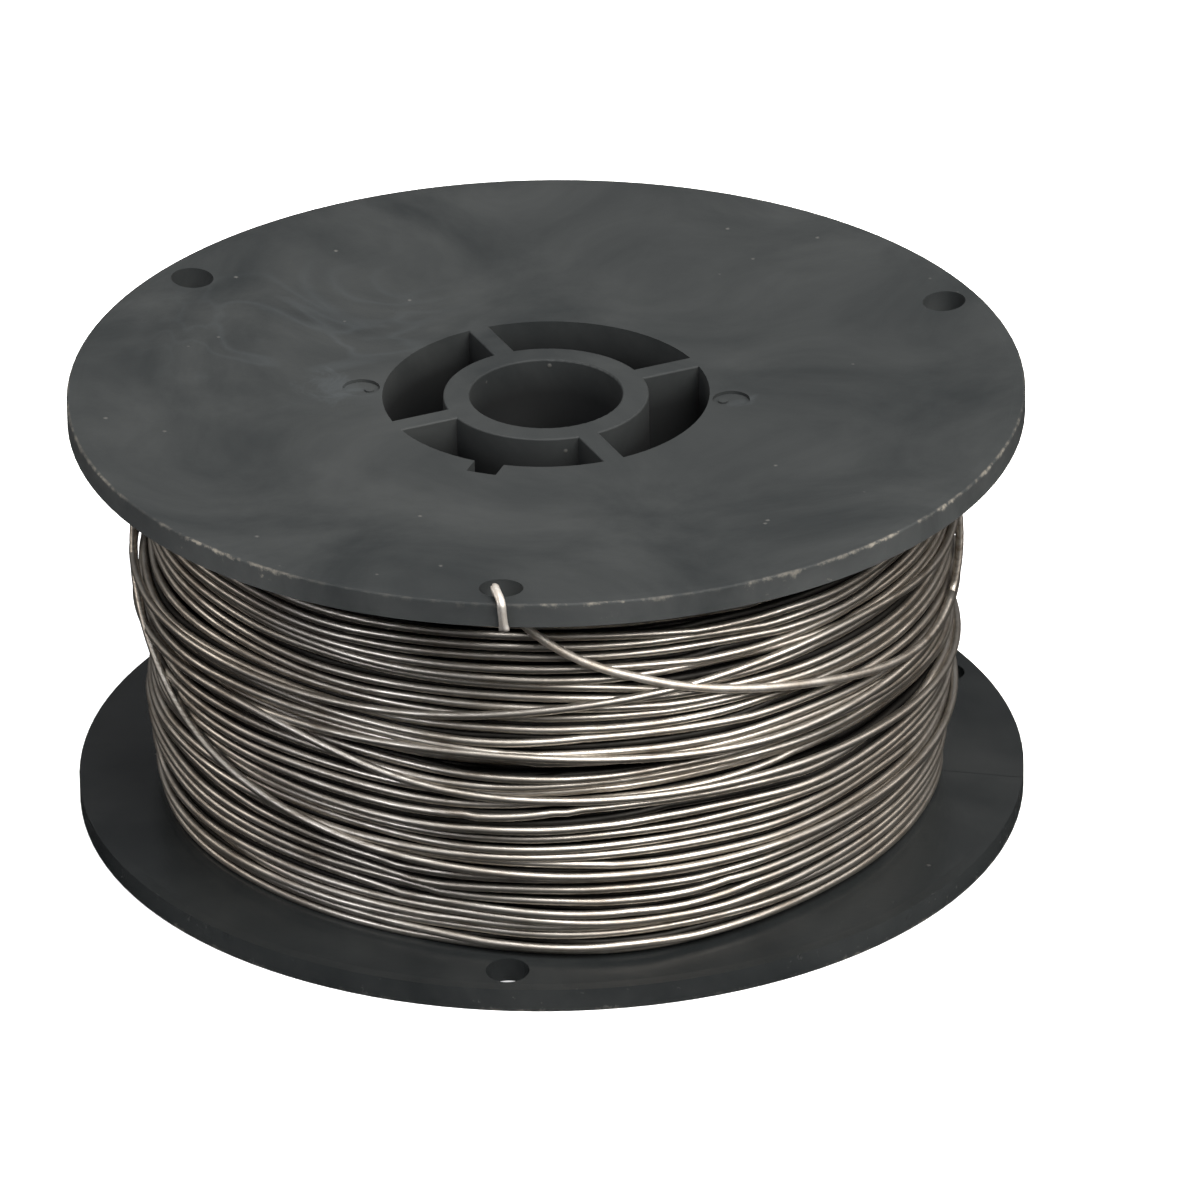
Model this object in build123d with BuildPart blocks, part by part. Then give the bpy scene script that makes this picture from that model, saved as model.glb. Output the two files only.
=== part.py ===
"""A 100 mm moulded wire spool, wound full with flux-cored welding wire.

Millimetres, +Z up along the spool's axis. The origin is on that axis, in the plane that the lower
rim stands on. The mould's parting plane is XZ, so the gates lie on the X axis, and the anchor hole
that holds the wire's outer end is on -Y.
"""

import os
from math import cos, hypot, pi, radians, sin, sqrt, tan

from build123d import *

# Moulded spool
FLANGE_D = 100.0
HUB_WIDTH = 45.0  # over the two hub faces
FLANGE_T = 2.6
RIM_BOW = 1.02  # the winding pushes each rim this far out past its hub face
RIM_LAND = 1.3  # radial width of the flat that the spool stands on
RIM_OUTER_ROUND = 0.25
RIM_INNER_ROUND = 0.9
BARREL_D = 39.0
BARREL_WALL = 2.4
BORE_D = 16.0
HUB_WALL = 2.75
WEB_COUNT = 4
WEB_T = 2.3
WEB_AZIMUTH = 30.0
HUB_EDGE_ROUND = 0.2
WEB_ROOT = 1.0  # how far a web's ends run into the walls that it joins

# Anchor holes, near the rim of both flanges
ANCHOR_COUNT = 3
ANCHOR_D = 4.5
ANCHOR_INSET = 3.8  # centre to rim
ANCHOR_AZIMUTH = -90.0

# Slot for the wire's inner end, through the barrel wall beside the upper flange
SLOT_AZIMUTH = -104.5
SLOT_WIDTH = 3.2
SLOT_DEPTH = 8.0  # below the upper hub face
SLOT_OVERRUN = 1.5  # past the barrel's inner wall, into the open window

# Gate marks on the upper face
GATE_D = 3.9
GATE_DEPTH = 0.35
GATE_INSET = 0.1  # gate centre inside the barrel's outer radius
GATE_COUNT = 2
STUB_D = 1.0
STUB_H = 0.2
STUB_INSET = 0.85  # stub centre, nearer to the axis than its gate's

# Wire and winding
WIRE_D = 0.9
RIM_FREE = 6.5  # rim left standing above the full winding
LAYER_COUNT = 30  # the turns nest, so 30 layers of 0.9 mm wire rise 24 mm
LAYER_GAP = 0.03
SIDE_GAP = 0.15  # between a layer's last turn and the flange
TAIL_GAP = 0.06  # between the wire's outer end and what it lies against
HOOK_DROP = 2.7  # the hook's end, below the upper rim
RUN_SHARE = 0.45  # of the shorter run, taken up by the arc at a corner
START_DROP = 1.6  # the inner end passes through the slot this far below the flange
START_CLEAR = 0.35  # and then runs down this far from the barrel's inner wall
START_LEG = 11.0
START_BEND = 0.9

# The wire's outer end over the winding, as (azimuth, drop below the upper rim), from where it
# leaves the winding to where it rises behind the rim
TAIL_ROUTE = [
    (-9.8, 19.3),
    (-14.9, 20.3),
    (-20.9, 20.6),
    (-28.7, 20.1),
    (-39.5, 18.2),
    (-48.4, 16.7),
    (-56.3, 15.5),
    (-63.7, 14.1),
    (-72.0, 12.4),
    (-77.8, 10.4),
    (-82.6, 8.3),
    (-86.3, 5.9),
]
# From there up through the anchor hole, as (radius past the hole's centre, azimuth past the
# hole's, drop below the upper rim), then the azimuths of the hook's fold over the rim and its end
RISE_ROUTE = [(-1.1, 1.4, 3.9), (0.4, -0.3, 1.4)]
HOLE_EXIT = (0.95, -0.7)
HOOK_AZIMUTHS = (0.5, 0.8)

rim_r = FLANGE_D / 2
land_r = rim_r - RIM_LAND
barrel_r = BARREL_D / 2
barrel_in_r = barrel_r - BARREL_WALL
bore_r = BORE_D / 2
hub_r = bore_r + HUB_WALL
hub_bottom = RIM_BOW
hub_top = RIM_BOW + HUB_WIDTH
middle_z = RIM_BOW + HUB_WIDTH / 2
top_z = hub_top + RIM_BOW
wound_r = rim_r - RIM_FREE
anchor_r = rim_r - ANCHOR_INSET
wire_r = WIRE_D / 2


def bow_at(r):
    """How far a flange has moved outward at radius r: an arc that leaves the hub level."""
    reach = land_r - barrel_r
    bend_r = (reach**2 + RIM_BOW**2) / (2 * RIM_BOW)
    return bend_r - sqrt(bend_r**2 - (min(r, land_r) - barrel_r) ** 2)


def polar(r, azimuth, z):
    return Vector(r * cos(radians(azimuth)), r * sin(radians(azimuth)), z)


def radius_of(point):
    return hypot(point.X, point.Y)


os.makedirs("parts", exist_ok=True)


# Spool body: one moulding, with barrel and flanges turned in one section
with BuildPart() as spool_body:
    with BuildSketch(Plane.XZ):
        with BuildLine():
            TangentArc((barrel_r, hub_bottom), (land_r, 0), tangent=(1, 0))
            Polyline((land_r, 0), (rim_r, 0), (rim_r, FLANGE_T), (land_r, FLANGE_T))
            TangentArc((barrel_r, hub_bottom + FLANGE_T), (land_r, FLANGE_T), tangent=(1, 0))
            Polyline(
                (barrel_r, hub_bottom + FLANGE_T),
                (barrel_r, middle_z),
                (barrel_in_r, middle_z),
                (barrel_in_r, hub_bottom),
                (barrel_r, hub_bottom),
            )
        section = make_face()
        rim_corners = section.vertices().group_by(Axis.X)[-1].sort_by(Axis.Z)
        fillet(rim_corners[0], RIM_OUTER_ROUND)
        fillet(rim_corners[-1], RIM_INNER_ROUND)
    revolve(axis=Axis.Z)
    mirror(about=Plane.XY.offset(middle_z))

    # Hub tube and its webs, as tall as the barrel
    with BuildSketch(Plane.XY.offset(hub_bottom)):
        Circle(hub_r)
        with PolarLocations(0, WEB_COUNT, start_angle=WEB_AZIMUTH):
            with Locations(((hub_r + barrel_in_r) / 2, 0)):
                Rectangle(barrel_in_r - hub_r + 2 * WEB_ROOT, WEB_T)
        Circle(bore_r, mode=Mode.SUBTRACT)
    extrude(amount=HUB_WIDTH)

    # The windows' and bore's edges, broken a little on both hub faces
    for hub_face in (hub_bottom, hub_top):
        level_edges = spool_body.edges().filter_by_position(Axis.Z, hub_face, hub_face)
        fillet(level_edges.filter_by(lambda e: radius_of(e @ 0) < barrel_in_r + WEB_T), HUB_EDGE_ROUND)

    # Slot for the wire's inner end
    slot_length = BARREL_WALL + SLOT_OVERRUN
    with BuildSketch(Plane.XY.offset(hub_top)):
        with PolarLocations(barrel_r - slot_length / 2, 1, start_angle=SLOT_AZIMUTH):
            Rectangle(slot_length, SLOT_WIDTH)
    extrude(amount=-SLOT_DEPTH, mode=Mode.SUBTRACT)

    # Anchor holes through both flanges
    with BuildSketch():
        with PolarLocations(anchor_r, ANCHOR_COUNT, start_angle=ANCHOR_AZIMUTH):
            Circle(ANCHOR_D / 2)
    extrude(amount=top_z, mode=Mode.SUBTRACT)

    # Two gate marks on the upper face, each a round dimple with the stub of its gate in it
    gate_r = barrel_r - GATE_INSET
    with BuildSketch(Plane.XY.offset(hub_top - GATE_DEPTH)):
        with PolarLocations(gate_r, GATE_COUNT):
            Circle(GATE_D / 2)
    extrude(amount=GATE_DEPTH + RIM_BOW, mode=Mode.SUBTRACT)
    with BuildSketch(Plane.XY.offset(hub_top - GATE_DEPTH)):
        with PolarLocations(gate_r - STUB_INSET, GATE_COUNT):
            Circle(STUB_D / 2)
    extrude(amount=STUB_H)

spool_body.part.label = "spool_body"
export_step(spool_body.part, "parts/spool_body.step")


# Wound wire: one closed ring for each layer of turns, its ends following the bowed flanges
layer_rise = (wound_r - barrel_r) / LAYER_COUNT
for number in range(1, LAYER_COUNT + 1):
    layer_in_r = barrel_r + (number - 1) * layer_rise + LAYER_GAP
    layer_out_r = barrel_r + number * layer_rise
    end_in_z = hub_top - FLANGE_T + bow_at(layer_in_r) - SIDE_GAP
    end_out_z = hub_top - FLANGE_T + bow_at(layer_out_r) - SIDE_GAP
    with BuildPart() as wire_layer:
        with BuildSketch(Plane.XZ):
            with BuildLine():
                Polyline(
                    (layer_in_r, middle_z),
                    (layer_out_r, middle_z),
                    (layer_out_r, end_out_z),
                    (layer_in_r, end_in_z),
                    close=True,
                )
            make_face()
        revolve(axis=Axis.Z)
        mirror(about=Plane.XY.offset(middle_z))
    wire_layer.part.label = f"wire_layer_{number:02d}"
    export_step(wire_layer.part, f"parts/wire_layer_{number:02d}.step")


def wire_along(name, points, bends):
    """Sweep the wire along straight runs joined by tangent arcs, and write it."""
    with BuildPart() as wire:
        with BuildLine() as route:
            FilletPolyline(*points, radius=bends)
        path = route.wires()[0]
        with BuildSketch(Plane(origin=path @ 0, z_dir=path % 0)):
            Circle(wire_r)
        sweep(path=path)
    wire.part.label = name
    export_step(wire.part, f"parts/{name}.step")
    share = wire.part.volume / (pi * wire_r**2 * path.length)
    print(name, "bends", [round(b, 1) for b in bends], "length", round(path.length, 1))
    print(name, "volume over section times length", round(share, 4))


def largest_bends(points):
    """For each corner, the largest arc that its two runs leave room for."""
    bends = []
    for before, corner, after in zip(points, points[1:], points[2:]):
        runs = (corner - before, after - corner)
        turn = radians(runs[0].get_angle(runs[1]))
        bends.append(RUN_SHARE * min(run.length for run in runs) / tan(turn / 2))
    return bends


# Inner end: out of the first layer, through the slot and down inside the barrel
slot_z = hub_top - FLANGE_T - START_DROP
start_in_r = barrel_in_r - START_CLEAR - wire_r
start_points = [
    polar(barrel_r, SLOT_AZIMUTH, slot_z),
    polar(start_in_r, SLOT_AZIMUTH, slot_z),
    polar(start_in_r, SLOT_AZIMUTH, slot_z - START_LEG),
]
wire_along("wire_start", start_points, [START_BEND])

# Outer end: over the winding, up behind the rim, out through the anchor hole and hooked over the rim
lying_r = wound_r + wire_r + TAIL_GAP
over_rim_r = rim_r + wire_r + TAIL_GAP
over_top_z = top_z + wire_r + TAIL_GAP
fold_bend = RIM_OUTER_ROUND + wire_r + TAIL_GAP
# The straight runs cut inside the winding's curve, so all points but the first stand out a little
widest_step = max(a[0] - b[0] for a, b in zip(TAIL_ROUTE, TAIL_ROUTE[1:]))
raised_r = lying_r / cos(radians(widest_step / 2))
tail_points = [polar(raised_r, azimuth, top_z - drop) for azimuth, drop in TAIL_ROUTE]
tail_points[0] = polar(lying_r, TAIL_ROUTE[0][0], top_z - TAIL_ROUTE[0][1])
tail_points += [
    polar(anchor_r + past, ANCHOR_AZIMUTH + turn, top_z - drop) for past, turn, drop in RISE_ROUTE
]
tail_points += [
    polar(anchor_r + HOLE_EXIT[0], ANCHOR_AZIMUTH + HOLE_EXIT[1], over_top_z),
    polar(over_rim_r, ANCHOR_AZIMUTH + HOOK_AZIMUTHS[0], over_top_z),
    polar(over_rim_r, ANCHOR_AZIMUTH + HOOK_AZIMUTHS[1], top_z - HOOK_DROP),
]
tail_bends = largest_bends(tail_points)
tail_bends[-2:] = [fold_bend, fold_bend]
wire_along("wire_tail", tail_points, tail_bends)
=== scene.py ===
"""The looks of a full spool of flux-cored welding wire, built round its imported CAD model.

The script follows the object: the camera, the moulded spool, the wound wire layer by layer, the
wire's two ends, and then the floor, the backdrop and the lights. Lengths given to Blender are in
metres, and mm turns millimetres into them. The wire's lines are worked out in millimetres.
"""

from math import cos, radians, sin

import bmesh
import bpy
import numpy as np
from mathutils import Matrix, Vector


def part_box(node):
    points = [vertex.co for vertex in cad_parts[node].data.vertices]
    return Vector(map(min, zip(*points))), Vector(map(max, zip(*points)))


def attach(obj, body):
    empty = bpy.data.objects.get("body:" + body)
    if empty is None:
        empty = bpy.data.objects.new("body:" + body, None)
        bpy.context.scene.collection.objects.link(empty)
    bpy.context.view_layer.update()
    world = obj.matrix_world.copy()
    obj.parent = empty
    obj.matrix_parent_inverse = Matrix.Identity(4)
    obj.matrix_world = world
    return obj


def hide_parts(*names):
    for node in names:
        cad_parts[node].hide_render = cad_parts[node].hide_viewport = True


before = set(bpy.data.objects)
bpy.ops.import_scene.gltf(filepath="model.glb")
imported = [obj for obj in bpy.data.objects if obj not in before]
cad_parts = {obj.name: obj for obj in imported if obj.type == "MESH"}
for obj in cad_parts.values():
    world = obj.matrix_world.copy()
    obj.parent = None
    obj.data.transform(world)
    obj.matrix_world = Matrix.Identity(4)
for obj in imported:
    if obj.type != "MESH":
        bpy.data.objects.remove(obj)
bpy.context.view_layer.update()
mm = 0.001


# Camera. A long lens well back from the bench looks down at the spool, over the anchor hole that
# holds the wire's end, and is turned a few degrees towards the gate mark on +X.
view_azimuth, view_elevation, view_distance = -84.0, 27.216, 1.3158
view_roll, view_yaw, view_pitch = 0.865, 0.233, -0.072
spool_low, spool_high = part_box("spool_body")
aim = Vector((0, 0, (spool_low.z + spool_high.z) / 2))
bearing, rise = radians(view_azimuth), radians(view_elevation)
towards = Vector((cos(bearing) * cos(rise), sin(bearing) * cos(rise), sin(rise)))
sideways = Vector((-sin(bearing), cos(bearing), 0))
axes = Matrix((sideways, towards.cross(sideways), towards)).transposed().to_4x4()
trim = (
    Matrix.Rotation(radians(-view_yaw), 4, "Y")
    @ Matrix.Rotation(radians(view_pitch), 4, "X")
    @ Matrix.Rotation(radians(-view_roll), 4, "Z")
)
camera = bpy.data.objects.new("camera", bpy.data.cameras.new("camera"))
camera.data.sensor_width = 36
camera.data.lens = 375.38
camera.data.clip_start = 0.1
camera.data.clip_end = 10
camera.matrix_world = Matrix.Translation(aim + towards * view_distance) @ axes @ trim
bpy.context.scene.collection.objects.link(camera)
bpy.context.scene.camera = camera


# Spool body. One injection moulding in carbon-black polystyrene: two thin flanges, the winding
# barrel, and a hub tube on four webs. The winding has bowed the flanges out a little.
def srgb(code):
    """The linear colour of an sRGB hex code."""
    parts = [int(code[i : i + 2], 16) / 255 for i in (0, 2, 4)]
    parts = [p / 12.92 if p <= 0.04045 else ((p + 0.055) / 1.055) ** 2.4 for p in parts]
    return (*parts, 1.0)


def add(tree, kind, inputs, **settings):
    """Add a node with its settings. An input is a value, or the output socket that feeds it."""
    node = tree.nodes.new("ShaderNode" + kind)
    for name, value in settings.items():
        setattr(node, name, value)
    for name, value in inputs.items():
        if isinstance(value, bpy.types.NodeSocket):
            tree.links.new(value, node.inputs[name])
        else:
            node.inputs[name].default_value = value
    return node


def finish_named(name, **shader):
    """A new material with one Principled shader, and its node tree."""
    material = bpy.data.materials.new(name)
    material.use_nodes = True
    principled = material.node_tree.nodes["Principled BSDF"]
    for socket, value in shader.items():
        principled.inputs[socket.replace("_", " ")].default_value = value
    return material, material.node_tree, principled


# Black polystyrene, moulded in a plain satin tool: a dull grey sheen, cloudy where the melt
# flowed, glossier on the lower flange, with dust specks and pale scuffs on the rims, and painted
# shade darkening the hub's inside and the lower flange. Its IOR is 1.59. Its specular level is
# lowered, as a face dulled by handling shines less at a low angle.
spool_plastic, tree, shader = finish_named("black_polystyrene", IOR=1.59, Specular_IOR_Level=0.2)
place = add(tree, "TexCoord", {}).outputs["Object"]
where = add(tree, "SeparateXYZ", {"Vector": place}).outputs
off_axis = add(tree, "VectorMath", {0: place, 1: (1, 1, 0)}, operation="MULTIPLY").outputs["Vector"]
radius = add(tree, "VectorMath", {0: off_axis}, operation="LENGTH").outputs["Value"]
cloud_width = 24 * mm
clouds = add(
    tree,
    "TexNoise",
    {"Vector": place, "Scale": 1 / cloud_width, "Detail": 6.0, "Roughness": 0.62, "Distortion": 0.8},
).outputs["Fac"]
swirl_width = 26 * mm
swirls = add(
    tree,
    "TexNoise",
    {"Vector": place, "Scale": 1 / swirl_width, "Detail": 1.5, "Roughness": 0.5, "Distortion": 2.6},
).outputs["Fac"]
lines = add(tree, "Math", {0: swirls, 1: 0.5}, operation="SUBTRACT").outputs["Value"]
lines = add(tree, "Math", {0: lines}, operation="ABSOLUTE").outputs["Value"]
lines = add(
    tree,
    "MapRange",
    {"Value": lines, "From Min": 0.0, "From Max": 0.05, "To Min": 1.0, "To Max": 0.0},
).outputs["Result"]

# The melt came in at the gates, on +X and -X, and left a pale blush round each of them
gate_r = 19.4 * mm
ragged_width = 5 * mm
ragged = add(
    tree,
    "TexNoise",
    {"Vector": place, "Scale": 1 / ragged_width, "Detail": 6.0, "Roughness": 0.7, "Distortion": 1.5},
).outputs["Fac"]
blushes = []
for side, spread in ((-1, 6.0 * mm), (1, 2.6 * mm)):
    gate = (side * (gate_r + 0.45 * spread), 0, spool_high.z)
    reach_of = add(tree, "VectorMath", {0: place, 1: gate}, operation="DISTANCE").outputs["Value"]
    torn = add(tree, "Math", {0: ragged, 1: -2.0 * spread, 2: reach_of}, operation="MULTIPLY_ADD")
    blush = add(
        tree,
        "MapRange",
        {
            "Value": torn.outputs["Value"],
            "From Min": -0.75 * spread,
            "From Max": -0.35 * spread,
            "To Min": 1.0,
            "To Max": 0.0,
        },
    )
    blushes.append(blush.outputs["Result"])
blush = add(tree, "Math", {0: blushes[0], 1: blushes[1]}, operation="MAXIMUM").outputs["Value"]
flow_centre = (-26 * mm, 12 * mm, spool_high.z)
flow_reach = add(tree, "VectorMath", {0: place, 1: flow_centre}, operation="DISTANCE").outputs["Value"]
flow = add(
    tree,
    "MapRange",
    {"Value": flow_reach, "From Min": 6 * mm, "From Max": 20 * mm, "To Min": 0.15, "To Max": 0.0},
).outputs["Result"]
flow_lines = add(tree, "Math", {0: lines, 1: flow}, operation="MULTIPLY").outputs["Value"]
pale = add(tree, "Math", {0: blush, 1: 0.22, 2: flow_lines}, operation="MULTIPLY_ADD").outputs["Value"]
shade = add(
    tree,
    "MapRange",
    {"Value": clouds, "From Min": 0.32, "From Max": 0.68, "To Min": 0.0, "To Max": 1.0},
).outputs["Result"]
tint = add(
    tree,
    "Mix",
    {"Factor": shade, "A": srgb("1b1e1f"), "B": srgb("303232")},
    data_type="RGBA",
).outputs["Result"]
tint = add(
    tree,
    "Mix",
    {"Factor": pale, "A": tint, "B": srgb("4a4f52")},
    data_type="RGBA",
).outputs["Result"]

# Scuffs: the rims have rolled and slid on benches, so their outer edges are rubbed pale in spots
scuff_width = 1.6 * mm
rubbing = add(
    tree,
    "TexNoise",
    {"Vector": place, "Scale": 1 / scuff_width, "Detail": 6.0, "Roughness": 0.75},
).outputs["Fac"]
on_rim = add(
    tree,
    "MapRange",
    {"Value": radius, "From Min": 49.72 * mm, "From Max": 49.9 * mm, "To Min": 0.0, "To Max": 1.0},
).outputs["Result"]
corners = []
rim_band = 3.3 * mm  # the flange's edge, and a little past its inner corner
for corner_z in (spool_low.z, spool_low.z + rim_band, spool_high.z - rim_band, spool_high.z):
    beside = add(tree, "Math", {0: where["Z"], 1: corner_z}, operation="SUBTRACT").outputs["Value"]
    beside = add(tree, "Math", {0: beside}, operation="ABSOLUTE").outputs["Value"]
    corner = add(
        tree,
        "MapRange",
        {"Value": beside, "From Min": 0.15 * mm, "From Max": 0.7 * mm, "To Min": 0.16, "To Max": 0.0},
    )
    corners.append(corner.outputs["Result"])
near_corner = corners[0]
for corner in corners[1:]:
    near_corner = add(tree, "Math", {0: near_corner, 1: corner}, operation="MAXIMUM").outputs["Value"]
rubbing = add(tree, "Math", {0: rubbing, 1: near_corner}, operation="ADD").outputs["Value"]
worn = add(
    tree,
    "MapRange",
    {"Value": rubbing, "From Min": 0.62, "From Max": 0.8, "To Min": 0.0, "To Max": 0.7},
).outputs["Result"]
worn = add(tree, "Math", {0: worn, 1: on_rim}, operation="MULTIPLY").outputs["Value"]
in_places = add(
    tree,
    "MapRange",
    {"Value": clouds, "From Min": 0.45, "From Max": 0.62, "To Min": 0.1, "To Max": 1.0},
).outputs["Result"]
worn = add(tree, "Math", {0: worn, 1: in_places}, operation="MULTIPLY").outputs["Value"]
tint = add(
    tree,
    "Mix",
    {"Factor": worn, "A": tint, "B": srgb("8d867a")},
    data_type="RGBA",
).outputs["Result"]

# Dust and moulding specks, about a fifth of a millimetre across and a few millimetres apart
speck_gap = 3.2 * mm
grid = add(tree, "TexVoronoi", {"Vector": place, "Scale": 1 / speck_gap, "Randomness": 1.0}).outputs
speck = add(
    tree,
    "MapRange",
    {"Value": grid["Distance"], "From Min": 0.04, "From Max": 0.09, "To Min": 1.0, "To Max": 0.0},
).outputs["Result"]
few = add(tree, "SeparateColor", {"Color": grid["Color"]}).outputs["Red"]
few = add(tree, "Math", {0: few, 1: 0.8}, operation="GREATER_THAN").outputs["Value"]
speck = add(tree, "Math", {0: speck, 1: few}, operation="MULTIPLY").outputs["Value"]
dusty = add(tree, "Math", {0: speck, 1: 0.35}, operation="MULTIPLY").outputs["Value"]
tint = add(
    tree,
    "Mix",
    {"Factor": dusty, "A": tint, "B": srgb("6c6b67")},
    data_type="RGBA",
).outputs["Result"]

# A fine line where the two halves of the mould met, on the lower flange
low_part_top = 8 * mm  # clear above the lower flange's bowed inner face
off_parting = add(tree, "Math", {0: where["Y"]}, operation="ABSOLUTE").outputs["Value"]
parting = add(
    tree,
    "MapRange",
    {"Value": off_parting, "From Min": 0.05 * mm, "From Max": 0.11 * mm, "To Min": 0.7, "To Max": 0.0},
).outputs["Result"]
lower_part = add(tree, "Math", {0: where["Z"], 1: low_part_top}, operation="LESS_THAN").outputs["Value"]
parting = add(tree, "Math", {0: parting, 1: lower_part}, operation="MULTIPLY").outputs["Value"]
tint = add(
    tree,
    "Mix",
    {"Factor": parting, "A": tint, "B": srgb("050606")},
    data_type="RGBA",
).outputs["Result"]

# Painted shade: inside the hub, below its top face, and on the lower flange under the upper one,
# the colour is darkened towards near black where shade falls
barrel_in_r = 17.1 * mm
hub_inside = add(
    tree,
    "MapRange",
    {
        "Value": radius,
        "From Min": barrel_in_r + 0.1 * mm,
        "From Max": barrel_in_r + 0.5 * mm,
        "To Min": 1.0,
        "To Max": 0.0,
    },
).outputs["Result"]
hub_shade_depth = add(
    tree,
    "MapRange",
    {
        "Value": where["Z"],
        "From Min": spool_high.z - 5.0 * mm,
        "From Max": spool_high.z - 1.6 * mm,
        "To Min": 0.85,
        "To Max": 0.0,
    },
).outputs["Result"]
painted_shade = add(tree, "Math", {0: hub_inside, 1: hub_shade_depth}, operation="MULTIPLY").outputs["Value"]
under_flange_shade = add(
    tree,
    "MapRange",
    {
        "Value": where["Z"],
        "From Min": low_part_top,
        "From Max": low_part_top + 1 * mm,
        "To Min": 0.4,
        "To Max": 0.0,
    },
).outputs["Result"]
painted_shade = add(tree, "Math", {0: painted_shade, 1: under_flange_shade}, operation="MAXIMUM").outputs["Value"]
# Painted shade: the hub's inside and the lower flange darkened to near black
tint = add(
    tree,
    "Mix",
    {"Factor": painted_shade, "A": tint, "B": srgb("0a0b0c")},
    data_type="RGBA",
).outputs["Result"]
tree.links.new(tint, shader.inputs["Base Color"])

# Dull on top, where the spool is handled, and glossier on the lower flange. Scuffs are duller
outer_gloss = add(
    tree,
    "MapRange",
    {"Value": clouds, "From Min": 0.3, "From Max": 0.7, "To Min": 0.74, "To Max": 0.66},
).outputs["Result"]
low_down = add(
    tree,
    "MapRange",
    {
        "Value": where["Z"],
        "From Min": low_part_top,
        "From Max": low_part_top + 1 * mm,
        "To Min": 0.27,
        "To Max": 1.0,
    },
).outputs["Result"]
gloss = add(tree, "Math", {0: outer_gloss, 1: low_down}, operation="MINIMUM").outputs["Value"]
scuffed_gloss = add(tree, "Math", {0: worn, 1: 0.25, 2: gloss}, operation="MULTIPLY_ADD").outputs["Value"]
tree.links.new(scuffed_gloss, shader.inputs["Roughness"])
peel_width = 0.9 * mm  # the faint ripple of the moulded skin
peel = add(tree, "TexNoise", {"Vector": place, "Scale": 1 / peel_width, "Detail": 3.0}).outputs["Fac"]
relief = add(tree, "Math", {0: speck, 1: 4.0, 2: peel}, operation="MULTIPLY_ADD").outputs["Value"]
relief = add(tree, "Math", {0: rubbing, 1: 0.6, 2: relief}, operation="MULTIPLY_ADD").outputs["Value"]
bump = add(tree, "Bump", {"Height": relief, "Strength": 0.35, "Distance": 0.04 * mm})
tree.links.new(bump.outputs["Normal"], shader.inputs["Normal"])
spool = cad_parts["spool_body"]
spool.data.materials.clear()
spool.data.materials.append(spool_plastic)


# Wound wire. Tubular steel wire, 0.9 mm thick, drawn and then wound under tension from the barrel
# out, 30 layers deep. Each turn rests on the turns below, slides into the nearest groove, and
# bridges the hollows because it is taut. Each layer is one piece of the same continuous wire.
wire_r = 0.45
steps = 180  # round one turn
cell = 0.05  # along the axis, in the record of how high the winding stands
low_z, cells = 1.0, 930  # where that record starts, and how many cells it has
reach = int(wire_r / cell)
offsets = np.arange(-reach, reach + 1) * cell
crown = np.sqrt(np.maximum(wire_r**2 - offsets**2, 0))  # the wire's own round, over those offsets
layer_names = sorted(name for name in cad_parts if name.startswith("wire_layer_"))
layer_boxes = [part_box(name) for name in layer_names]
layer_rise = (layer_boxes[1][1].x - layer_boxes[0][1].x) / mm
barrel_r = layer_boxes[0][1].x / mm - layer_rise
standing = np.full((steps, cells), barrel_r)  # the winding's radius so far, by azimuth and height
draws = np.random.default_rng(11)
ahead = 48  # steps that a stretch of wire is felt over, before and after it
slide_cost = 0.1  # mm of height that a slide of 1 mm has to gain, growing as its square
slide_rate = 0.5  # how soon the stiff wire follows the groove, for each step


def crest(azimuth, z, side):
    """How far out a wire centred at z would rest, for shifts of up to side cells either way."""
    column = np.round((z - low_z) / cell).astype(int)
    columns = column[:, None] + np.arange(-reach - side, reach + side + 1)
    under = standing[azimuth[:, None], columns.clip(0, cells - 1)]
    windows = np.lib.stride_tricks.sliding_window_view(under, 2 * reach + 1, axis=1)
    return (windows + crown).max(2)


def into_groove(azimuth, z, state):
    """Let the wire slide sideways to where it lies lower. It is stiff, so it only shifts slowly."""
    best = offsets[(crest(azimuth, z, reach) + slide_cost * offsets**2).argmin(1)]
    shifts, states = [], [state]
    shift, speed = state
    for wish in best:
        speed += slide_rate**2 * (wish - shift) - 2 * slide_rate * speed
        shift += speed
        shifts.append(shift)
        states.append((shift, speed))
    return z + np.array(shifts), states


def pulled_taut(r):
    """Lift a turn out of hollows, onto the straight lines between the points that it rests on."""
    for _ in range(3):
        for span in (24, 12, 6, 3, 2, 1):
            a, b = r[: -2 * span], r[2 * span :]
            bridge = 2 * a * b * cos(2 * np.pi * span / steps) / (a + b)
            r[span:-span] = np.maximum(r[span:-span], bridge)
    return r


def lay(heights, first, low, high, free):
    """Lay wire at these heights, turn by turn, on what is wound already. Returns z and radius.

    Where free is true the wire crosses at the height given. Elsewhere it slides into the grooves.
    """
    laid_z, laid_r = [], np.zeros(0)
    state = (0.0, 0.0)
    for start in range(0, len(heights), steps):
        stretch = slice(start, start + steps + ahead)
        z = heights[stretch]
        here = min(steps, len(heights) - start)
        azimuth = -(first + start + np.arange(len(z))) % steps
        slid, states = into_groove(azimuth, z, state)
        z = np.where(free[stretch], z, slid).clip(low[stretch], high[stretch])
        state = states[here]
        r = crest(azimuth, z, 0)[:, 0]
        r = pulled_taut(np.concatenate([laid_r[-ahead:], r]))[min(ahead, len(laid_r)) :]
        azimuth, z, r = azimuth[:here], z[:here], r[:here]
        column = np.round((z - low_z) / cell).astype(int)
        for shift, height in zip(range(-reach, reach + 1), crown):
            at = (column + shift).clip(0, cells - 1)
            standing[azimuth, at] = np.maximum(standing[azimuth, at], r + height)
        laid_z.append(z)
        laid_r = np.concatenate([laid_r, r])
    return np.concatenate(laid_z), laid_r


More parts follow.
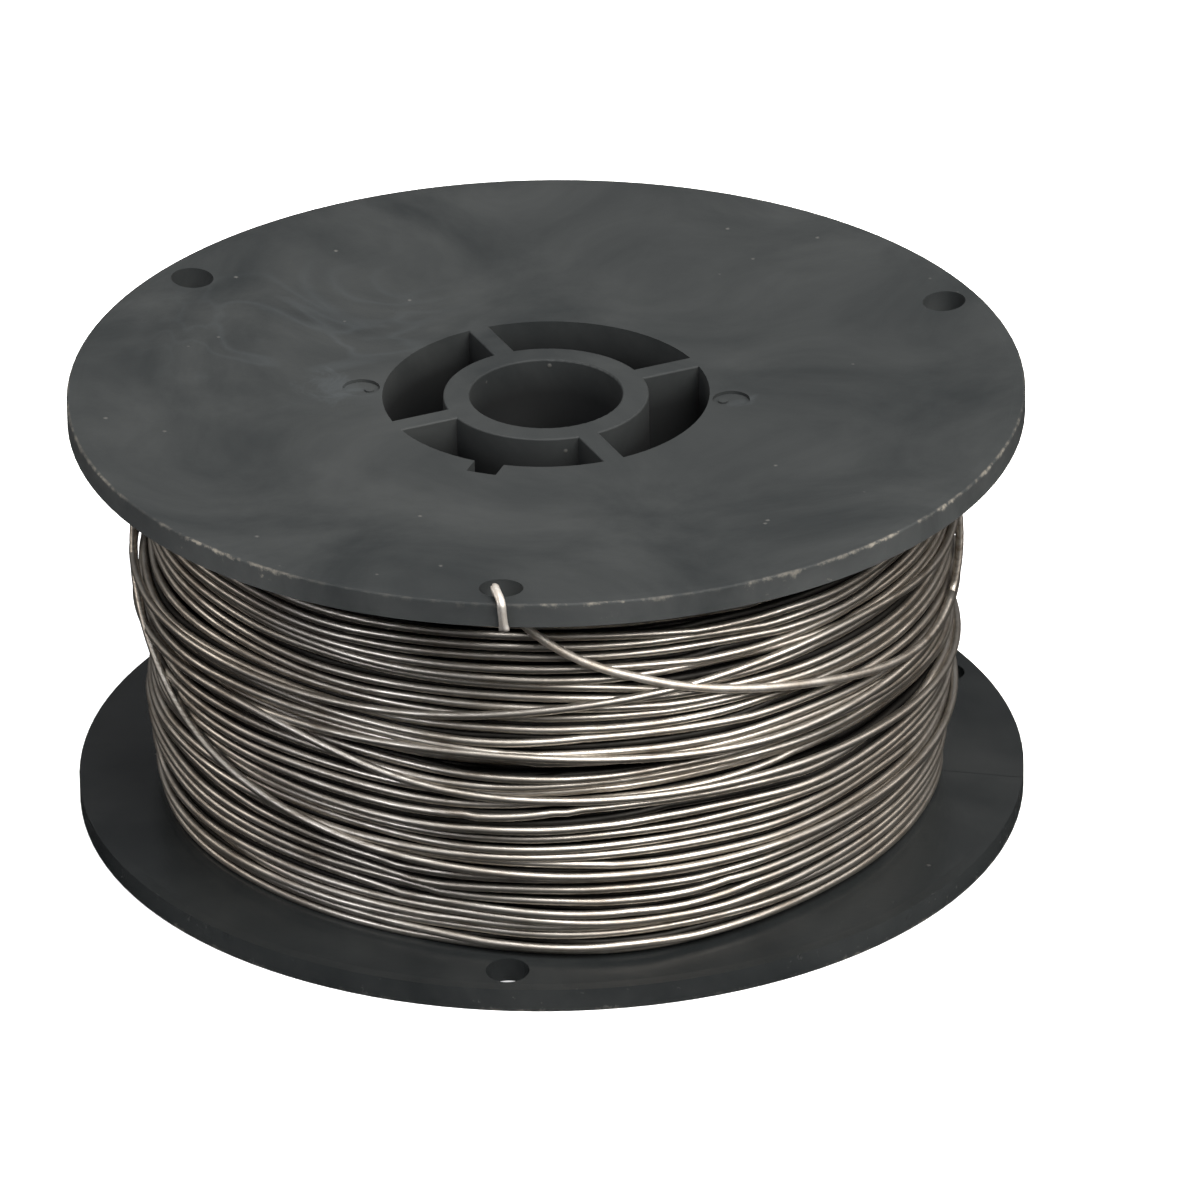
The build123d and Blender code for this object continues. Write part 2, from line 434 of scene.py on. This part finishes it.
def drift(count, amount, alike):
    """A smooth wander of the wire's height in mm. alike says how far each turn follows others."""
    margin = 3 * steps
    rough = draws.standard_normal(count + 2 * margin)
    near = np.arange(-72, 73)
    smooth = np.convolve(rough, np.exp(-((near / 24) ** 2) / 2), "same")
    mixed = sum(share * np.roll(smooth, turns * steps) for turns, share in alike)[margin:-margin]
    return mixed * amount / mixed.std()


def bar(name, centres, sides, turn_rows=steps, thickness=wire_r, carried=False):
    """A round wire along a line of centres in mm, with a strip of its map for every turn_rows.

    carried is for a line that also runs radially: its sides are carried along from the first.
    """
    along = np.gradient(centres, axis=0)
    along /= np.linalg.norm(along, axis=1)[:, None]
    out = centres * (1, 1, 0)
    if carried:
        out[0] = np.cross(along[0], (0, 0, 1))
        for row in range(1, len(out)):
            out[row] = out[row - 1] - out[row - 1].dot(along[row]) * along[row]
            out[row] /= np.linalg.norm(out[row])
    out -= (out * along).sum(1)[:, None] * along
    out /= np.linalg.norm(out, axis=1)[:, None]
    up = np.cross(along, out)
    turned = np.linspace(0, 2 * np.pi, sides, endpoint=False)
    ring = np.cos(turned)[:, None] * out[:, None] + np.sin(turned)[:, None] * up[:, None]
    points = (centres[:, None] + np.broadcast_to(thickness, ring.shape[:2])[..., None] * ring) * mm
    rows, here = np.meshgrid(np.arange(len(centres) - 1), np.arange(sides), indexing="ij")
    after = (here + 1) % sides
    row, next_row = rows * sides, (rows + 1) * sides
    quads = [row + here, row + after, next_row + after, next_row + here]
    faces = np.stack(quads, axis=2).reshape(-1, 4).tolist()
    first_cap = np.arange(sides)[::-1]
    last_cap = np.arange(sides) + (len(centres) - 1) * sides
    faces += [first_cap.tolist(), last_cap.tolist()]
    mesh = bpy.data.meshes.new(name)
    mesh.from_pydata(points.reshape(-1, 3), [], faces, shade_flat=False)
    strips = -(-(len(centres) - 1) // turn_rows) + 1
    u = (rows % turn_rows)[..., None] + np.array([0, 0, 1, 1])
    v = (rows // turn_rows)[..., None] + 0.05 + 0.9 * (here[..., None] + np.array([0, 1, 1, 0])) / sides
    side_map = np.stack([0.01 + 0.98 * u / turn_rows, v / strips], axis=-1).reshape(-1, 2)
    cap = np.stack([np.cos(turned), np.sin(turned)], axis=1) * 0.4 / strips
    cap_maps = [cap[::-1] + (0.25, 1 - 0.5 / strips), cap + (0.75, 1 - 0.5 / strips)]
    layout = mesh.uv_layers.new(name="OFBake")
    layout.data.foreach_set("uv", np.concatenate([side_map, *cap_maps]).astype(np.float32).ravel())
    piece = bpy.data.objects.new(name, mesh)
    bpy.context.scene.collection.objects.link(piece)
    return piece


# Drawn carbon steel, bare and a little oily: half bright with a warm grey cast, dulled in
# stretches and streaked along the wire by the die. A metal, so its IOR stays as it is.
drawn_steel, tree, shader = finish_named("drawn_steel", Metallic=1.0)
place = add(tree, "TexCoord", {}).outputs["Object"]
smear_length = 9 * mm
smears = add(tree, "TexNoise", {"Vector": place, "Scale": 1 / smear_length, "Detail": 4.0, "Roughness": 0.65})
flat = add(tree, "VectorMath", {0: place, 1: (0.25, 0.25, 6.0)}, operation="MULTIPLY")
streak_width = 1.1 * mm
streaks = add(
    tree,
    "TexNoise",
    {"Vector": flat.outputs["Vector"], "Scale": 1 / streak_width, "Detail": 3.0, "Roughness": 0.6},
)
mixed = add(
    tree,
    "Math",
    {0: smears.outputs["Fac"], 1: streaks.outputs["Fac"]},
    operation="ADD",
)
dulled = add(
    tree,
    "MapRange",
    {"Value": mixed.outputs["Value"], "From Min": 0.75, "From Max": 1.25, "To Min": 0.0, "To Max": 1.0},
)
steel_tint = add(
    tree,
    "Mix",
    {"Factor": dulled.outputs["Result"], "A": srgb("857d73"), "B": srgb("cbc6be")},
    data_type="RGBA",
)
tree.links.new(steel_tint.outputs["Result"], shader.inputs["Base Color"])
steel_gloss = add(
    tree,
    "MapRange",
    {"Value": dulled.outputs["Result"], "From Min": 0.0, "From Max": 1.0, "To Min": 0.48, "To Max": 0.36},
)
tree.links.new(steel_gloss.outputs["Result"], shader.inputs["Roughness"])

# Painted shade: the same steel, made nearly black, for every layer under the last, standing in for the shade
# deep in the winding
shaded_steel, tree, shader = finish_named("shaded_steel", Metallic=1.0)
place = add(tree, "TexCoord", {}).outputs["Object"]
shade_mottle_width = 6 * mm
shade_mottle = add(tree, "TexNoise", {"Vector": place, "Scale": 1 / shade_mottle_width, "Detail": 3.0}).outputs["Fac"]
shaded_steel_tint = add(
    tree,
    "Mix",
    {"Factor": shade_mottle, "A": srgb("171717"), "B": srgb("3a3835")},
    data_type="RGBA",
)
tree.links.new(shaded_steel_tint.outputs["Result"], shader.inputs["Base Color"])
shaded_steel_gloss = add(
    tree,
    "MapRange",
    {"Value": shade_mottle, "From Min": 0.3, "From Max": 0.7, "To Min": 0.6, "To Max": 0.48},
)
tree.links.new(shaded_steel_gloss.outputs["Result"], shader.inputs["Roughness"])

# The winding itself. It starts at the slot in the barrel, beside the upper flange, and goes down
# and up by turns. The outer layers are wound wider and less evenly than the ones that they hide.
slot_azimuth = -104
inner_pitch, inner_drift = 1.12, 0.18
outer_pitch, outer_drift, outer_layers = 1.25, 0.36, 3
last_pitch = 1.12
# How far a turn follows the wander of its neighbours, as (turns away, share)
close = ((-2, 0.3), (-1, 0.8), (0, 1.0), (1, 0.8), (2, 0.3))
loose = ((-1, 0.35), (0, 1.0), (1, 0.35))
hub_low, hub_high = 1.02, 46.02
flange_t, rim_bow, flat_rim_r = 2.6, 1.02, 48.7
bow_radius = ((flat_rim_r - barrel_r) ** 2 + rim_bow**2) / (2 * rim_bow)
side_gap = 0.05
flange_dwell = 0.35  # of a turn, on each side of a reversal, that lies against the flange
flange_calm = 2.5  # the flanges guide the turns that lie within this of them
# The last turns cross over the rest, as (azimuth, height) in degrees and mm. The azimuth counts on
# through the turns, and the wire runs the way that it falls
crossing_turns = [
    (-140, 41.5), (-250, 38.0), (-345, 34.2), (-377, 33.8), (-397, 35.4), (-414, 34.5),
    (-427, 33.1), (-438, 32.3), (-460, 30.2), (-480, 29.4), (-490, 29.4), (-600, 28.0),
    (-700, 27.0), (-731, 26.8), (-747, 25.9), (-763, 25.2), (-775, 24.9), (-790, 26.0),
    (-815, 27.2), (-860, 25.0), (-980, 20.0), (-1080, 19.2), (-1120, 20.3), (-1163, 21.3),
    (-1174, 21.6), (-1185, 22.4), (-1198, 25.0), (-1211, 26.0), (-1300, 22.0), (-1380, 14.5),
    (-1440, 12.0), (-1523, 12.4), (-1549, 13.6), (-1566, 15.4), (-1580, 17.5), (-1590, 20.6),
    (-1600, 25.0), (-1612, 29.5), (-1632, 34.5), (-1680, 38.8), (-1730, 39.0), (-1770, 35.8),
    (-1792, 31.8), (-1810, 27.85), (-1815, 26.8), (-1821, 26.4), (-1829, 26.9), (-1840, 28.8),
    (-1849, 30.3), (-1856, 31.4), (-1864, 32.8), (-1872, 34.6), (-1878, 36.6), (-1884, 39.2),
    (-1890, 42.5), (-1900, 48.0),
]  # fmt: skip
tail_from, tail_leaves = -1810, -1870  # where it becomes the tail, and where it leaves the winding
first = round(-slot_azimuth * steps / 360)
heights, lows, highs, counts = [], [], [], []
for number, (_, corner) in enumerate(layer_boxes):
    outer = number >= len(layer_names) - outer_layers
    bow = bow_radius - np.sqrt(bow_radius**2 - (corner.x / mm - barrel_r) ** 2)
    low = hub_low + flange_t - bow + wire_r + side_gap
    high = hub_high - flange_t + bow - wire_r - side_gap
    pitch = last_pitch if number == len(layer_names) - 1 else outer_pitch if outer else inner_pitch
    turns = int((high - low) / pitch + 2 * flange_dwell)
    fall = np.linspace(high + flange_dwell * pitch, low - flange_dwell * pitch, turns * steps)
    fall = fall if number % 2 == 0 else fall[::-1]
    fall = fall.clip(low, high)
    room_beside = np.minimum(fall - low, high - fall)
    strays = drift(len(fall), outer_drift, loose) if outer else drift(len(fall), inner_drift, close)
    guided = fall + strays * (room_beside / flange_calm).clip(0.4, 1)
    guided = high - np.abs(high - guided)
    heights.append(low + np.abs(guided - low))
    lows.append(np.full(len(fall), low))
    highs.append(np.full(len(fall), high))
    counts.append(len(fall))
gone = first + sum(counts)
last_turn = gone // steps * steps
at = np.arange(gone - last_turn, -crossing_turns[-1][0] * steps // 360) * 360 / steps
route = np.array([(-at[0], heights[-1][-1]), *crossing_turns])
crossing = np.interp(at, -route[:, 0], route[:, 1])
rounding = np.exp(-((np.arange(-12, 13) / 3.5) ** 2) / 2)
crossing = np.convolve(np.pad(crossing, 12, mode="edge"), rounding / rounding.sum(), "valid")
crossing = crossing[at <= -tail_leaves]
tail_count = (tail_from - tail_leaves) * steps // 360
free = np.arange(sum(counts) + len(crossing)) >= sum(counts)
heights, lows, highs = [
    np.concatenate([*layers, np.full(len(crossing), end) if end is not None else crossing])
    for layers, end in ((heights, None), (lows, low), (highs, high))
]
z, r = lay(heights, first, lows, highs, free)
# The wire can't bend sharply, least of all where it crosses freely. Widths are in steps
for width, softened in ((3.5, np.ones_like(free)), (7.0, free)):
    stiff = np.exp(-((np.arange(-21, 22) / width) ** 2) / 2)
    stiffened = np.convolve(np.pad(r, 21, mode="edge"), stiff / stiff.sum(), "valid")
    r = np.where(softened, stiffened, r)
turned = -np.radians((first + np.arange(len(r))) * 360 / steps)
wire_line = np.stack([r * np.cos(turned), r * np.sin(turned), z], axis=1)
counts[-1] += len(crossing) - tail_count
tail_laid = wire_line[sum(counts) - 1 :]
counts[0] -= steps // 2  # the pieces meet on the far side from the anchor hole
counts[-1] += steps // 2
for number, (name, count) in enumerate(zip(layer_names, counts)):
    outer = number >= len(layer_names) - outer_layers
    start = sum(counts[:number])
    centres = wire_line[max(start - 1, 0) : start + count]
    if not outer:
        centres = np.concatenate([centres[:-1:3], centres[-1:]])
    layer = bar(name + "_turns", centres, 10 if outer else 5, steps if outer else steps // 3)
    # The last layer is the drawn steel; the layers under it get the steel darkened with painted shade
    layer.data.materials.append(drawn_steel if name == layer_names[-1] else shaded_steel)
    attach(layer, "root")
    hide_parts(name)


# Inner end of the wire. It comes in through the slot in the barrel and is bent down behind the
# wall, which keeps it from pulling back when the winding starts.
def polar(r, azimuth, z):
    return (r * cos(radians(azimuth)), r * sin(radians(azimuth)), z)


def smooth_line(points, samples):
    """Points in mm along a smooth spline that starts and ends at the given ones."""
    curve = bpy.data.curves.new("line", "CURVE")
    curve.dimensions = "3D"
    spline = curve.splines.new("NURBS")
    spline.points.add(len(points) - 1)
    for knot, point in zip(spline.points, points):
        knot.co = (*point, 1.0)
    spline.order_u = 3
    spline.use_endpoint_u = True
    spline.resolution_u = samples
    holder = bpy.data.objects.new("line", curve)
    mesh = bpy.data.meshes.new_from_object(holder)
    line = np.array([vertex.co for vertex in mesh.vertices])
    bpy.data.objects.remove(holder)
    bpy.data.curves.remove(curve)
    bpy.data.meshes.remove(mesh)
    return line


def end_piece(name, line):
    """The wire along a line, with its rolled seam as a fine groove, and pinched flat at the cut."""
    sides = 24
    to_cut = np.linalg.norm(line - line[-1], axis=1)
    pinch = (1 - to_cut / pinched_length).clip(0, 1)[:, None] ** 2
    across = np.linspace(0, 2 * np.pi, sides, endpoint=False)
    thickness = wire_r * (1 + pinch * (widened * np.sin(across) ** 2 - flattened * np.cos(across) ** 2))
    thickness[:, seam_side] -= seam_depth
    before_cut = 0.06 * line[-2] + 0.94 * line[-1]  # the cut's edge is eased from here to the end
    line = np.insert(line, len(line) - 1, before_cut, axis=0)
    thickness = np.insert(thickness, len(thickness) - 1, thickness[-1], axis=0)
    thickness[-1] *= 0.86
    piece = bar(name + "_bent", line, sides, turn_rows=len(line), thickness=thickness, carried=True)
    piece.data.materials.append(bright_steel)
    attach(piece, "root")
    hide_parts(name)
    return piece


# Bright drawn steel: the same wire where handling and a sharp bend have rubbed its dull skin off.
# It is brightest at the anchor hole, and is like the drawn steel where it runs into the last layer
bright_steel, tree, shader = finish_named("rubbed_steel", Metallic=1.0)
place = add(tree, "TexCoord", {}).outputs["Object"]
rub_length = 3 * mm
rubs = add(tree, "TexNoise", {"Vector": place, "Scale": 1 / rub_length, "Detail": 5.0, "Roughness": 0.7})
rubbed = add(
    tree,
    "MapRange",
    {"Value": rubs.outputs["Fac"], "From Min": 0.35, "From Max": 0.65, "To Min": 0.0, "To Max": 1.0},
)
anchor_hole = (0, -46.2 * mm, spool_high.z)
from_hole = add(tree, "VectorMath", {0: place, 1: anchor_hole}, operation="DISTANCE").outputs["Value"]
handled = add(
    tree,
    "MapRange",
    {"Value": from_hole, "From Min": 14 * mm, "From Max": 60 * mm, "To Min": 1.0, "To Max": 0.0},
).outputs["Result"]
dull_tint = add(
    tree,
    "Mix",
    {"Factor": rubbed.outputs["Result"], "A": srgb("857d73"), "B": srgb("cbc6be")},
    data_type="RGBA",
).outputs["Result"]
bright_tint = add(
    tree,
    "Mix",
    {"Factor": rubbed.outputs["Result"], "A": srgb("c9beb0"), "B": srgb("f0ece6")},
    data_type="RGBA",
).outputs["Result"]
end_tint = add(
    tree,
    "Mix",
    {"Factor": handled, "A": dull_tint, "B": bright_tint},
    data_type="RGBA",
)
tree.links.new(end_tint.outputs["Result"], shader.inputs["Base Color"])
bright_gloss = add(
    tree,
    "MapRange",
    {"Value": handled, "From Min": 0.0, "From Max": 1.0, "To Min": 0.42, "To Max": 0.62},
)
tree.links.new(bright_gloss.outputs["Result"], shader.inputs["Roughness"])

seam_side, seam_depth = 1, 0.09
pinched_length, widened, flattened = 1.1, 0.28, 0.22
start_low, start_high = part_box("wire_start")
slot_z = start_high.z / mm - wire_r
slot_middle = -104.5
tucked_r = 16.3
start_line = smooth_line(
    [
        polar(barrel_r + wire_r, slot_middle + 2, slot_z),
        polar(barrel_r - 0.3, slot_middle, slot_z),
        polar(17.6, slot_middle, slot_z),
        polar(tucked_r, slot_middle, slot_z),
        polar(tucked_r, slot_middle, slot_z - 1.3),
        polar(tucked_r, slot_middle, slot_z - 5.0),
        polar(tucked_r, slot_middle, start_low.z / mm),
    ],
    12,
)
end_piece("wire_start", start_line)


# Outer end of the wire. It leaves the winding with a long rise over the other turns, goes up
# behind the rim and out through the anchor hole, and is hooked down over the rim's edge.
top_z = spool_high.z / mm
rim_r = spool_high.x / mm
anchor_r, anchor_azimuth = 46.2, -90.0
tail_gap = 0.06
over_rim_r = rim_r + wire_r + tail_gap
over_top_z = top_z + wire_r + tail_gap
rise_points = [
    *tail_laid[-2:].tolist(),
    polar(44.3, -77.4, top_z - 10.55),
    polar(44.4, -82.6, top_z - 8.3),
    polar(44.7, -86.3, top_z - 5.9),
    polar(anchor_r - 1.1, anchor_azimuth + 1.4, top_z - 3.9),
    polar(anchor_r + 0.4, anchor_azimuth - 0.3, top_z - 1.4),
    polar(anchor_r + 0.95, anchor_azimuth - 0.7, over_top_z),
    polar(anchor_r + 2.2, anchor_azimuth - 0.4, over_top_z + 0.25),
    polar(over_rim_r, anchor_azimuth + 0.5, over_top_z + 0.1),
    polar(over_rim_r, anchor_azimuth + 0.6, top_z - 0.8),
    polar(over_rim_r, anchor_azimuth + 0.8, top_z - 2.7),
]
tail_line = np.concatenate([tail_laid[:-2], smooth_line(rise_points, 12)])
end_piece("wire_tail", tail_line)


# Bench top. A white opal acrylic sheet, lit a little from below, which the lower rim stands on.
# It is kept out of reflections, so that the undersides of the wires stay dark.
board_width = 6.0
board = bmesh.new()
bmesh.ops.create_grid(board, x_segments=8, y_segments=8, size=board_width / 2)
board_mesh = bpy.data.meshes.new("bench_top")
board.to_mesh(board_mesh)
board.free()
bench_top = bpy.data.objects.new("bench_top", board_mesh)
bpy.context.scene.collection.objects.link(bench_top)
opal_acrylic, tree, shader = finish_named("opal_acrylic", Roughness=0.6, IOR=1.49)
shader.inputs["Emission Color"].default_value = srgb("ffffff")
shader.inputs["Emission Strength"].default_value = 0.7
place = add(tree, "TexCoord", {}).outputs["Object"]
mottle = add(tree, "TexNoise", {"Vector": place, "Scale": 4.0, "Detail": 2.0})
board_tint = add(
    tree,
    "Mix",
    {"Factor": mottle.outputs["Fac"], "A": srgb("f4f4f3"), "B": srgb("f7f7f7")},
    data_type="RGBA",
)
tree.links.new(board_tint.outputs["Result"], shader.inputs["Base Color"])
bench_top.data.materials.append(opal_acrylic)
bench_top.visible_glossy = False


# Backdrop. A roll of white paper all round the spool, curved up from the floor and lit from
# behind. It only closes the view: it gives the spool no light, shadow or reflection.
paper_r, paper_curve, paper_top = 2.2, 0.7, 2.6
curve_parts, segments = 12, 96
profile = [(paper_r, 0.0)]
for part in range(1, curve_parts + 1):
    turn = radians(part * 90 / curve_parts)
    profile.append((paper_r + paper_curve * sin(turn), paper_curve * (1 - cos(turn))))
profile.append((paper_r + paper_curve, paper_top))
paper = bmesh.new()
rings = []
for r, height in profile:
    rings.append([paper.verts.new(polar(r, 360 * side / segments, height)) for side in range(segments)])
for lower, upper in zip(rings, rings[1:]):
    for side in range(segments):
        onward = (side + 1) % segments
        paper.faces.new((lower[side], lower[onward], upper[onward], upper[side]))
paper_mesh = bpy.data.meshes.new("backdrop")
paper.to_mesh(paper_mesh)
paper.free()
backdrop = bpy.data.objects.new("backdrop", paper_mesh)
bpy.context.scene.collection.objects.link(backdrop)
backlit_paper, tree, shader = finish_named("backlit_paper", Roughness=0.9, IOR=1.5)
shader.inputs["Base Color"].default_value = srgb("f4f4f3")
shader.inputs["Emission Color"].default_value = srgb("ffffff")
shader.inputs["Emission Strength"].default_value = 1.0
backdrop.data.materials.append(backlit_paper)
backdrop.visible_diffuse = False
backdrop.visible_glossy = False
backdrop.visible_shadow = False


# Lights. A soft box high at the front right, a wide one overhead, and three small faint ones at the
# front left and the two sides, in a dim room.
def soft_box(name, azimuth, height, distance, size, power, colour):
    lamp = bpy.data.lights.new(name, "AREA")
    lamp.shape = "RECTANGLE"
    lamp.size, lamp.size_y = size
    lamp.energy = power
    lamp.color = srgb(colour)[:3]
    holder = bpy.data.objects.new(name, lamp)
    heading, lift = radians(azimuth), radians(height)
    way = Vector((cos(heading) * cos(lift), sin(heading) * cos(lift), sin(lift)))
    holder.location = aim + way * distance
    holder.rotation_euler = way.to_track_quat("Z", "Y").to_euler()
    bpy.context.scene.collection.objects.link(holder)


soft_box("key_light", azimuth=-42, height=46, distance=1.2, size=(0.9, 0.9), power=28, colour="fffcf8")
soft_box("fill_light", azimuth=-140, height=30, distance=1.6, size=(0.5, 0.5), power=6, colour="f8f9ff")
soft_box("left_light", azimuth=165, height=30, distance=1.6, size=(0.5, 0.6), power=3.5, colour="fff4e8")
soft_box("right_light", azimuth=28, height=30, distance=1.6, size=(0.5, 0.6), power=2.5, colour="fff4e8")
soft_box("top_light", azimuth=-90, height=80, distance=1.6, size=(1.2, 1.2), power=26, colour="ffffff")

# Plain colours, and a room beyond the paper that lights the spool dimly, and less from low down
bpy.context.scene.view_settings.view_transform = "Standard"
room = bpy.data.worlds.new("light_room")
room.use_nodes = True
tree = room.node_tree
direction = add(tree, "TexCoord", {}).outputs["Generated"]
rise_of = add(tree, "SeparateXYZ", {"Vector": direction})
lightness = add(
    tree,
    "MapRange",
    {"Value": rise_of.outputs["Z"], "From Min": -0.15, "From Max": 0.5, "To Min": 0.02, "To Max": 0.24},
)
tree.nodes["Background"].inputs["Color"].default_value = srgb("f2f3f5")
tree.links.new(lightness.outputs["Result"], tree.nodes["Background"].inputs["Strength"])
bpy.context.scene.world = room
